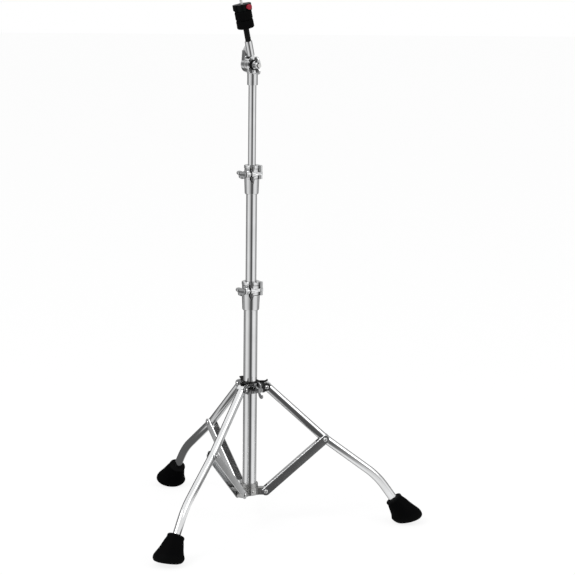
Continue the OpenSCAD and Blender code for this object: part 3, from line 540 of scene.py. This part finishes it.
# Distance along the leg, shift outwards, radius and lean in degrees
BOOT_RINGS = [
    (0.0, 0, 15.4, 0), (0.3, 0, 16.6, 0), (1.2, 0, 17.5, 0), (2.6, 0.1, 17.8, 0),
    (4.6, 0.2, 17.75, 0), (5.4, 0.2, 17.45, 0.3), (8, 0.35, 17.95, 1), (14, 0.7, 20.1, 2.5),
    (20, 1.0, 21.8, 5), (26, 1.3, 23.5, 7.5), (31, 1.5, 25.2, 9.5), (36, 1.7, 27.3, 11.5),
    (39, 1.9, 28.8, 13.5), (42, 2.1, 30.2, 15.5), (44, 2.25, 31.0, 17), (46.5, 2.4, 31.5, 18.7),
    (49.5, 2.4, 31.4, 20.5), (52, 2.2, 30.9, 22), (54.6, 1.8, 29.2, 22), (56.6, 1.3, 26.9, 22),
    (58.0, 0.6, 22.0, 22), (58.4, 0.2, 16.0, 22)]


def ring_place(ring):
    along, out, radius, lean = ring
    return shift(along, 0, out) @ turn(-radians(lean), "Y").inverted() @ turn(
        pi / 2, "Y") @ Matrix.Scale(radius, 4)


def boot():
    bm = bmesh.new()
    verts = bmesh.ops.create_circle(bm, cap_ends=False, segments=72, radius=1)["verts"]
    bmesh.ops.transform(bm, matrix=ring_place(BOOT_RINGS[0]), verts=verts)
    edges = list({e for v in verts for e in v.link_edges})
    first = edges
    for before, after in zip(BOOT_RINGS, BOOT_RINGS[1:]):
        edges = extruded(bm, edges, (0, 0, 0))
        verts = list({v for e in edges for v in e.verts})
        bmesh.ops.transform(bm, matrix=ring_place(after) @ ring_place(before).inverted(),
                            verts=verts)
    bmesh.ops.holes_fill(bm, edges=edges)
    # The rim's flat top runs in to the leg, and the socket's wall goes down inside
    inner = oval_ring(bm, inset=-0.1, segments=72)
    bmesh.ops.translate(bm, vec=(0.5, 0, 0), verts=inner)
    inner_edges = list({e for v in inner for e in v.link_edges})
    bmesh.ops.bridge_loops(bm, edges=first + inner_edges)
    deep = extruded(bm, inner_edges, (FOOT_SOCKET + 0.5, 0, 0))
    bmesh.ops.holes_fill(bm, edges=deep)
    return bm


# %% Feet
ABOVE_FLOOR = 0.05
for i in range(3):
    bm = boot()
    place = LEG_PLANE[i] @ shift(foot_r, 0, foot_z) @ turn(FOOT_ANGLE, "Y")
    bmesh.ops.transform(bm, matrix=place, verts=bm.verts)
    cut = bmesh.ops.bisect_plane(bm, geom=bm.verts[:] + bm.edges[:] + bm.faces[:], dist=1e-4,
                                 plane_co=(0, 0, ABOVE_FLOOR), plane_no=(0, 0, 1), clear_inner=True)
    bmesh.ops.holes_fill(bm, edges=[g for g in cut["geom_cut"]
                                    if isinstance(g, bmesh.types.BMEdge)])
    piece(bm, f"foot_{i + 1}_rubber", node_body[f"foot_{i + 1}"], "black_rubber",
          [f"foot_{i + 1}"], Matrix.Identity(4), smooth=radians(50))

# %% [markdown]
# ## Rivets
# A rivet's head is pressed into a low dome with a small dimple from the tool. One profile spun
# about the pin makes both heads and the pin between them.

# %% Rivets
def rivet(width, pin_r=2.5, head_r=4.4, head_t=1.8):
    half = width / 2 + 0.1
    top = half + head_t
    head = [(head_r - 0.4, half), (head_r, half + 0.5), (head_r - 0.15, half + 1.0),
            (head_r - 0.9, top - 0.1), (pin_r + 0.3, top), (pin_r, top + 0.35),
            (pin_r - 0.5, top + 0.6), (1.6, top + 0.5), (1.2, top - 0.7), (0, top - 0.9)]
    profile = [(pin_r, 0), (pin_r, half)] + head
    return joined(lathe(profile, 32), (lathe(profile, 32), turn(pi, "X")))


BRACE_W, COLLAR_W = 18.7, 20.7
ACROSS = turn(pi / 2, "X")
heads = [(rivet(BRACE_W), LEG_PLANE[i] @ shift(PIVOT_R, 0, BRACKET_Z) @ ACROSS) for i in range(3)]
piece(joined(*heads), "bracket_rivets_domed", "stand_base", "rivet_steel", ["bracket_rivets"],
      Matrix.Identity(4))
heads = [(rivet(COLLAR_W), LEG_PLANE[i] @ shift(PIVOT_R, 0, COLLAR_Z) @ ACROSS) for i in range(3)]
piece(joined(*heads), "collar_rivets_domed", "collar", "rivet_steel", ["collar_rivets"],
      Matrix.Identity(4))
for i in range(3):
    name = f"knee_rivet_{i + 1}"
    piece(rivet(BRACE_W), name + "_domed", node_body[name], "rivet_steel", [name],
          LEG_PLANE[i] @ shift(KNEE_R, 0, KNEE_Z) @ ACROSS)

# %% [markdown]
# ## Wing bolts
# Each wing bolt is one casting: a stepped hub with two ears that lean away from it. An ear is the
# hull of a thin round disc and a thicker root, and a wide bevel gives it its cast roundness.

# %% Helper: a winged head along +X
EAR_R, EAR_OUT, EAR_THIN, EAR_THICK = 7.0, 9.0, 3.4, 4.6
ROOT_FROM, ROOT_TO, ROOT_LOW, ROOT_HIGH = 3.4, 12.0, 2.0, 5.0


def ear(side, reach):
    bm = bmesh.new()
    for y in (-EAR_THIN / 2, EAR_THIN / 2):
        bmesh.ops.create_circle(bm, segments=36, radius=EAR_R, cap_ends=False,
                                matrix=shift(EAR_OUT, y, reach - EAR_R) @ turn(pi / 2, "X"))
    for y in (-EAR_THICK / 2, EAR_THICK / 2):
        for x, z in ((ROOT_FROM, ROOT_LOW), (ROOT_TO, ROOT_LOW), (ROOT_TO, ROOT_HIGH),
                     (ROOT_FROM, ROOT_HIGH)):
            bm.verts.new((x, y, z))
    hull = bmesh.ops.convex_hull(bm, input=bm.verts)
    inside = [g for g in hull["geom_interior"] + hull["geom_unused"]
              if isinstance(g, bmesh.types.BMVert)]
    bmesh.ops.delete(bm, geom=inside, context="VERTS")
    bmesh.ops.dissolve_limit(bm, angle_limit=radians(1), verts=bm.verts, edges=bm.edges)
    rims = [e for e in bm.edges if e.calc_face_angle(0) > radians(50)]
    bmesh.ops.bevel(bm, geom=rims, offset=1.0, offset_type="OFFSET", segments=3, profile=0.5,
                    affect="EDGES", clamp_overlap=True, material=-1)
    return bm, (Matrix.Identity(4) if side > 0 else turn(pi, "X"))


def winged_head(hub_r, span, bore=0.0):
    hub = [(hub_r - 0.5, 0), (hub_r, 0.5), (hub_r, 2.6), (hub_r - 0.5, 3.1), (hub_r - 0.9, 3.3),
           (hub_r - 1.7, 12), (hub_r - 2.1, 12.7), (hub_r - 3, 13), (2.6, 13), (1.8, 12.2)]
    if bore:
        hub = hub[:-2] + [(bore + 0.5, 13), (bore, 12.5), (bore, 0.4), (bore + 0.4, 0)]
        barrel = lathe(hub, 48, closed=True)
    else:
        barrel = lathe([(0, 0)] + hub + [(0, 12)], 48)
    return [(barrel, turn(pi / 2, "Y")), ear(1, span / 2), ear(-1, span / 2)]


def wing_bolt(tip, seat, shaft_r, turned, span):
    shaft = lathe([(0, tip), (shaft_r - 0.6, tip), (shaft_r, tip + 0.6), (shaft_r, seat + 2),
                   (0, seat + 2)], 32)
    head = [(bm, shift(x=seat) @ turn(turned, "X") @ place) for bm, place in
            winged_head(7.5, span)]
    return joined((shaft, turn(pi / 2, "Y")), *head)


# %% Wing bolts
WING_SPAN, JOINT_WING_SPAN = 37.0, 29.0
COLLAR_BOLT_AZ, BEYOND_TUBE = radians(300), 6.2
WING_NUT_OUT, WING_NUT_TURN = 7.8, radians(8)
# The shafts are a little thinner than the solid ones, so that an open jaw passes them
BOLT_R = 2.9
# The wing bolts' chrome colour is darkened, a painted dark reflection
piece(wing_bolt(tip=14.6, seat=30, shaft_r=BOLT_R, turned=radians(11), span=WING_SPAN),
      "collar_wing_bolt_cast", "collar_wing", "dark_chrome", ["collar_wing_bolt"],
      shift(z=COLLAR_Z - 1) @ turn(COLLAR_BOLT_AZ, "Z"))
for level, z, tube_r in (("lower", LOWER_Z, 14.3), ("upper", UPPER_Z, 11.1)):
    place = shift(z=z) @ turn(JOINT_TURN, "Z") @ shift(y=-tube_r - BEYOND_TUBE, z=BOLT_Z) @ turn(
        BOLT_SLANT, "Z")
    bolt = wing_bolt(tip=-6.5, seat=13.6, shaft_r=BOLT_R, turned=radians(68),
                     span=JOINT_WING_SPAN)
    piece(bolt, f"{level}_wing_bolt_cast", f"{level}_wing", "dark_chrome",
          [f"{level}_wing_bolt"], place)
nut_head = winged_head(hub_r=8.5, span=WING_SPAN, bore=4.08)
head = [(bm, shift(x=WING_NUT_OUT) @ turn(WING_NUT_TURN, "X") @ at) for bm, at in nut_head]
piece(joined(*head), "tilter_wing_nut_cast", "tilter_wing", "cast_chrome", ["tilter_wing_nut"],
      AT_TILTER)

# %% [markdown]
# ## The cymbal rod
# The rod is smooth where it stands in the arm and threaded at its tip, where the quick nut
# bites. The thread is a real one: a small V is spun round the axis while it climbs, one pitch to
# a turn, and the ends of the V run into the rod.

# %% Rod and thread
CREST_R, ROD_R, ROOT_R = 3.0, 2.8, 2.5
THREAD_Z, PITCH = 126.6, 1.0
ROD_IN_ARM = 16.0


def thread(low, high, r_root, r_crest, steps=24):
    bm = bmesh.new()
    sketch = [(r_root - 0.35, low), (r_root, low), (r_crest, low + 0.42), (r_crest, low + 0.58),
              (r_root, low + 1), (r_root - 0.35, low + 1)]
    verts = [bm.verts.new((r, 0, z)) for r, z in sketch]
    face = bm.faces.new(verts)
    turns = int(high - low - 1)
    bmesh.ops.spin(bm, geom=[face], cent=(0, 0, 0), axis=(0, 0, 1),
                   dvec=(0, 0, PITCH / steps), angle=2 * pi * turns, steps=steps * turns,
                   use_merge=False)
    return bm


rod_foot = ARM_TOP - ROD_IN_ARM
core = lathe([(0, rod_foot), (ROD_R - 0.4, rod_foot), (ROD_R, rod_foot + 0.4),
              (ROD_R, THREAD_Z - 0.4), (ROOT_R, THREAD_Z), (ROOT_R, ROD_TIP - 1.4),
              (1.9, ROD_TIP - 0.4), (1.5, ROD_TIP), (0, ROD_TIP)], 40)
piece(joined(core, thread(THREAD_Z, ROD_TIP - 1, ROOT_R, CREST_R)), "cymbal_rod_threaded", "arm",
      "rod_steel", ["cymbal_rod"], ON_ARM)

# %% [markdown]
# ## Seat and sleeve
# Two black nylon turnings keep the cymbal off the metal: a stout seat below the felts and a thin
# sleeve through them. The seat has four shallow grooves, as moulded seats do.

# %% Seat and sleeve
SEAT_R, SLEEVE_R, NYLON_BORE = 5.8, 4.2, 3.03
GROOVES, GROOVE_FROM, GROOVE_STEP, GROOVE_DEEP = 4, 4.5, 5, 0.25
seat = [(NYLON_BORE, ARM_TOP + 0.4), (3.4, ARM_TOP), (SEAT_R - 0.5, ARM_TOP),
        (SEAT_R, ARM_TOP + 0.5)]
for k in range(GROOVES):
    z = ARM_TOP + GROOVE_FROM + GROOVE_STEP * k
    seat += [(SEAT_R, z), (SEAT_R - GROOVE_DEEP, z + 0.3), (SEAT_R - GROOVE_DEEP, z + 0.9),
             (SEAT_R, z + 1.2)]
seat += [(SEAT_R, SEAT_TOP - 0.5), (SEAT_R - 0.5, SEAT_TOP), (3.4, SEAT_TOP),
         (NYLON_BORE, SEAT_TOP - 0.4)]
piece(lathe(seat, 56, closed=True), "cymbal_seat_moulded", "arm", "black_nylon",
      ["cymbal_seat"], ON_ARM)
sleeve = [(NYLON_BORE, SEAT_TOP + 0.3), (3.2, SEAT_TOP), (SLEEVE_R - 0.2, SEAT_TOP),
          (SLEEVE_R, SEAT_TOP + 0.3), (SLEEVE_R, NUT_Z - 0.9), (SLEEVE_R - 0.4, NUT_Z - 0.4),
          (3.2, NUT_Z - 0.4), (NYLON_BORE, NUT_Z - 0.6)]
piece(lathe(sleeve, 48, closed=True), "cymbal_sleeve_moulded", "arm", "black_nylon",
      ["cymbal_sleeve"], ON_ARM)

# %% [markdown]
# ## Felts
# Each felt is a thick ring punched from pressed wool, so its edges are soft and its face is a
# little uneven. The ring is spun, subdivided and then pushed in and out along its normals by a
# cloud pattern, which gives the uneven face real geometry instead of bump alone.

# %% Felts
FELT_T, FELT_R, FELT_BORE, FELT_EDGE = 17.1, 17.4, 4.5, 2.6
# The felts' undersides, a hair above the seat and above each other
FELT_LOWS = {"lower": 76.75, "upper": 94.35}


def quarter(r_middle, z_middle, start):
    angles = [radians(start + a) for a in range(0, 91, 15)]
    return [(r_middle + FELT_EDGE * cos(a), z_middle + FELT_EDGE * sin(a)) for a in angles]


def felt_ring(low):
    high = low + FELT_T
    section = [(FELT_BORE, low + 0.8), (FELT_BORE + 0.8, low)]
    section += quarter(FELT_R - FELT_EDGE, low + FELT_EDGE, -90)
    section += [(FELT_R, low + FELT_T / 2)]
    section += quarter(FELT_R - FELT_EDGE, high - FELT_EDGE, 0)
    section += [(FELT_BORE + 0.8, high), (FELT_BORE, high - 0.8)]
    bm = lathe(section, 96, closed=True)
    bmesh.ops.subdivide_edges(bm, edges=[e for e in bm.edges if e.calc_length() > 2.5], cuts=3,
                              use_grid_fill=True)
    return bm


clouds = bpy.data.textures.new("felt_clouds", "CLOUDS")
clouds.noise_scale = 0.0035
for level, low in FELT_LOWS.items():
    ring = piece(felt_ring(low), f"{level}_felt_pressed", f"{level}_felt", "black_felt",
                 [f"{level}_felt"], ON_ARM, smooth=radians(70))
    uneven = ring.modifiers.new("uneven", "DISPLACE")
    uneven.texture = clouds
    uneven.texture_coords = "LOCAL"
    uneven.strength = 0.0006
    uneven.mid_level = 0.5

# %% [markdown]
# ## Quick-release nut and button
# The nut is a moulded body with a finger lobe on one side and a housing for the red button on
# the other. The CAD plan is right, so its edges only need the generous round of a moulding.

# %% Nut and button
piece(softened("quick_release_nut", 0.9, 4), "quick_release_nut_moulded",
      node_body["quick_release_nut"], "nut_plastic", ["quick_release_nut"])
BUTTON_R, BUTTON_TURN = 5.6, radians(-58)
AT_BUTTON = AT_NUT @ shift(9.6, 0, 7.6) @ turn(BUTTON_TURN, "Z") @ turn(pi / 2, "Y")
button = lathe([(0, 5.4), (BUTTON_R, 5.4), (BUTTON_R, 10.4), (BUTTON_R - 0.3, 11.1), (4.6, 11.6),
                (3.4, 11.75), (1.6, 11.35), (0, 11.2)], 48)
piece(button, "release_button_moulded", "button", "red_plastic", ["release_button"], AT_BUTTON)

# %% [markdown]
# ## The studio
# Chrome shows nothing of its own, only what stands round it, so the studio is part of its look.
# Product photographers put large white walls beside a chrome tube and leave the camera's side
# dark, and that gives the tube one dark line between two bright bands. Here the wall is a round
# card that only reflections see. Its tones run round the stand as a radial gradient, so that the
# bands on the chrome have soft borders.

# %% Floor and cards
FLOOR_HALF = 12.0
bm = bmesh.new()
bmesh.ops.create_grid(bm, x_segments=1, y_segments=1, size=FLOOR_HALF)
floor_mesh = bpy.data.meshes.new("floor")
bm.to_mesh(floor_mesh)
bm.free()
floor = bpy.data.objects.new("floor", floor_mesh)
bpy.context.scene.collection.objects.link(floor)
floor.visible_glossy = False


# Side views in metres: a floor that turns up into a wall, and a sloping ceiling
FLOOR_AND_WALL = ((0.02, 0, -0.004), (9, 0, -0.004), (10, 0, 0.4), (10, 0, 7))
CEILING = ((6.4, 0, 7.2), (2.6, 0, 9.0))
CAMERA_SIDE = -91.6
# Angle from the camera's side of the stand, with plus to its right, and brightness
WALL_TONES = [(-180, 0.60), (-166, 0.60), (-160, 0.12), (-124, 0.12), (-121, 0.68), (-114, 0.68),
              (-110, 0.14), (-101, 0.14), (-92, 0.60), (-70, 0.95), (-48, 0.85), (-32, 0.66),
              (-20, 0.42), (-11, 0.27), (-3, 0.10), (17, 0.09), (25, 0.34), (33, 0.80), (52, 1.00),
              (84, 0.92), (96, 0.60), (107, 0.24), (113, 0.24), (117, 0.60), (130, 0.60),
              (134, 0.12), (160, 0.12), (167, 0.60), (180, 0.60)]


def glowing(name, colour):
    material, net = shader_net(name)
    net.nodes.remove(net.nodes["Principled BSDF"])
    glow = node(net, "Emission", Color=colour)
    net.links.new(glow.outputs[0], net.nodes["Material Output"].inputs["Surface"])
    return material, net, glow


def wall_paint():
    """White light whose strength runs round the stand through the tones above."""
    material, net, glow = glowing("wall_paint", (1, 1, 1, 1))
    round_about = node(net, "TexGradient", Vector=node(net, "TexCoord").outputs["Object"])
    round_about.gradient_type = "RADIAL"
    tones = node(net, "ValToRGB", Fac=round_about.outputs["Fac"])
    stops = tones.color_ramp.elements
    for angle, tone in WALL_TONES[1:-1]:
        stops.new(angle / 360 + 0.5).color = (tone, tone, tone, 1)
    for stop, (_, tone) in ((stops[0], WALL_TONES[0]), (stops[-1], WALL_TONES[-1])):
        stop.color = (tone, tone, tone, 1)
    net.links.new(tones.outputs["Color"], glow.inputs["Color"])
    return material


def card(name, start, end, side_view, material):
    """A side view spun from one angle to another, seen in reflections only, in degrees."""
    bm = bmesh.new()
    chain = [bm.verts.new(p) for p in side_view]
    edges = [bm.edges.new(pair) for pair in zip(chain, chain[1:])]
    bmesh.ops.rotate(bm, verts=chain, cent=(0, 0, 0), matrix=Matrix.Rotation(radians(start), 3, "Z"))
    bmesh.ops.spin(bm, geom=chain + edges, cent=(0, 0, 0), axis=(0, 0, 1),
                   angle=radians(end - start), steps=int((end - start) / 4), use_merge=False)
    mesh = bpy.data.meshes.new(name)
    bm.to_mesh(mesh)
    bm.free()
    mesh.materials.append(material)
    made = bpy.data.objects.new(name, mesh)
    # The whole card is turned so that the tones' zero faces the camera
    made.rotation_euler.z = radians(CAMERA_SIDE)
    bpy.context.scene.collection.objects.link(made)
    made.visible_camera = made.visible_diffuse = made.visible_shadow = False
    made.visible_transmission = made.visible_volume_scatter = False


card("studio_wall", -180, 180, FLOOR_AND_WALL, wall_paint())
# One dark card hangs higher, where the back brace's top looks
card("card_high", 92, 128, CEILING, glowing("dark_card", (0.06, 0.06, 0.06, 1))[0])

# %% [markdown]
# The floor is white paper: it looks white to the camera and still takes the stand's shadow. The
# world gives plain soft light, and it is white wherever the camera looks past the floor.

# %% Floor material, world and lamps
PAPER_WHITE, PAPER_SHARE = 1.04, 0.82
paper, net = shader_net("paper")
paper_shader = net.nodes["Principled BSDF"]
paper_shader.inputs["Roughness"].default_value = 0.9
paper_shader.inputs["Specular IOR Level"].default_value = 0.1
grain = node(net, "TexNoise", Scale=6)
tone = two_tones(net, grain.outputs["Fac"], (0.90, 0.90, 0.90), (0.93, 0.93, 0.93))
net.links.new(tone, paper_shader.inputs["Base Color"])
# To the camera the paper is mostly white of its own, and the rest takes the shadow
white = node(net, "Emission", Strength=PAPER_WHITE)
seen_directly = node(net, "LightPath").outputs["Is Camera Ray"]
both = net.nodes.new("ShaderNodeMixShader")
net.links.new(maths(net, "MULTIPLY", seen_directly, PAPER_SHARE), both.inputs["Fac"])
net.links.new(paper_shader.outputs[0], both.inputs[1])
net.links.new(white.outputs[0], both.inputs[2])
net.links.new(both.outputs[0], net.nodes["Material Output"].inputs["Surface"])
floor_mesh.materials.append(paper)

# What the camera or a mirror sees of the world is full white, and its light is a little weaker
SOFT_LIGHT = 0.75
world = bpy.data.worlds.new("studio")
bpy.context.scene.world = world
world.use_nodes = True
net = world.node_tree
path = node(net, "LightPath").outputs
seen = maths(net, "MAXIMUM", path["Is Camera Ray"], path["Is Glossy Ray"])
seen = maths(net, "MAXIMUM", seen, path["Is Transmission Ray"])
strength = node(net, "MapRange", Value=seen, To_Min=SOFT_LIGHT, To_Max=1.0)
net.links.new(strength.outputs["Result"], net.nodes["Background"].inputs["Strength"])
net.nodes["Background"].inputs["Color"].default_value = (1, 1, 1, 1)


def soft_lamp(name, place, target, size, power):
    lamp = bpy.data.lights.new(name, "AREA")
    lamp.shape = "SQUARE"
    lamp.size = size
    lamp.energy = power
    made = bpy.data.objects.new(name, lamp)
    made.location = place
    made.rotation_mode = "QUATERNION"
    made.rotation_quaternion = (Vector(target) - Vector(place)).to_track_quat("-Z", "Y")
    bpy.context.scene.collection.objects.link(made)
    return made


MIDDLE_OF_THE_STAND = (0, 0, 0.5)
soft_lamp("key", (-2.6, -2.2, 3.6), MIDDLE_OF_THE_STAND, 1.8, 60)
soft_lamp("fill", (2.8, -1.8, 2.6), MIDDLE_OF_THE_STAND, 1.6, 24)
print("tones on the wall:", len(WALL_TONES))
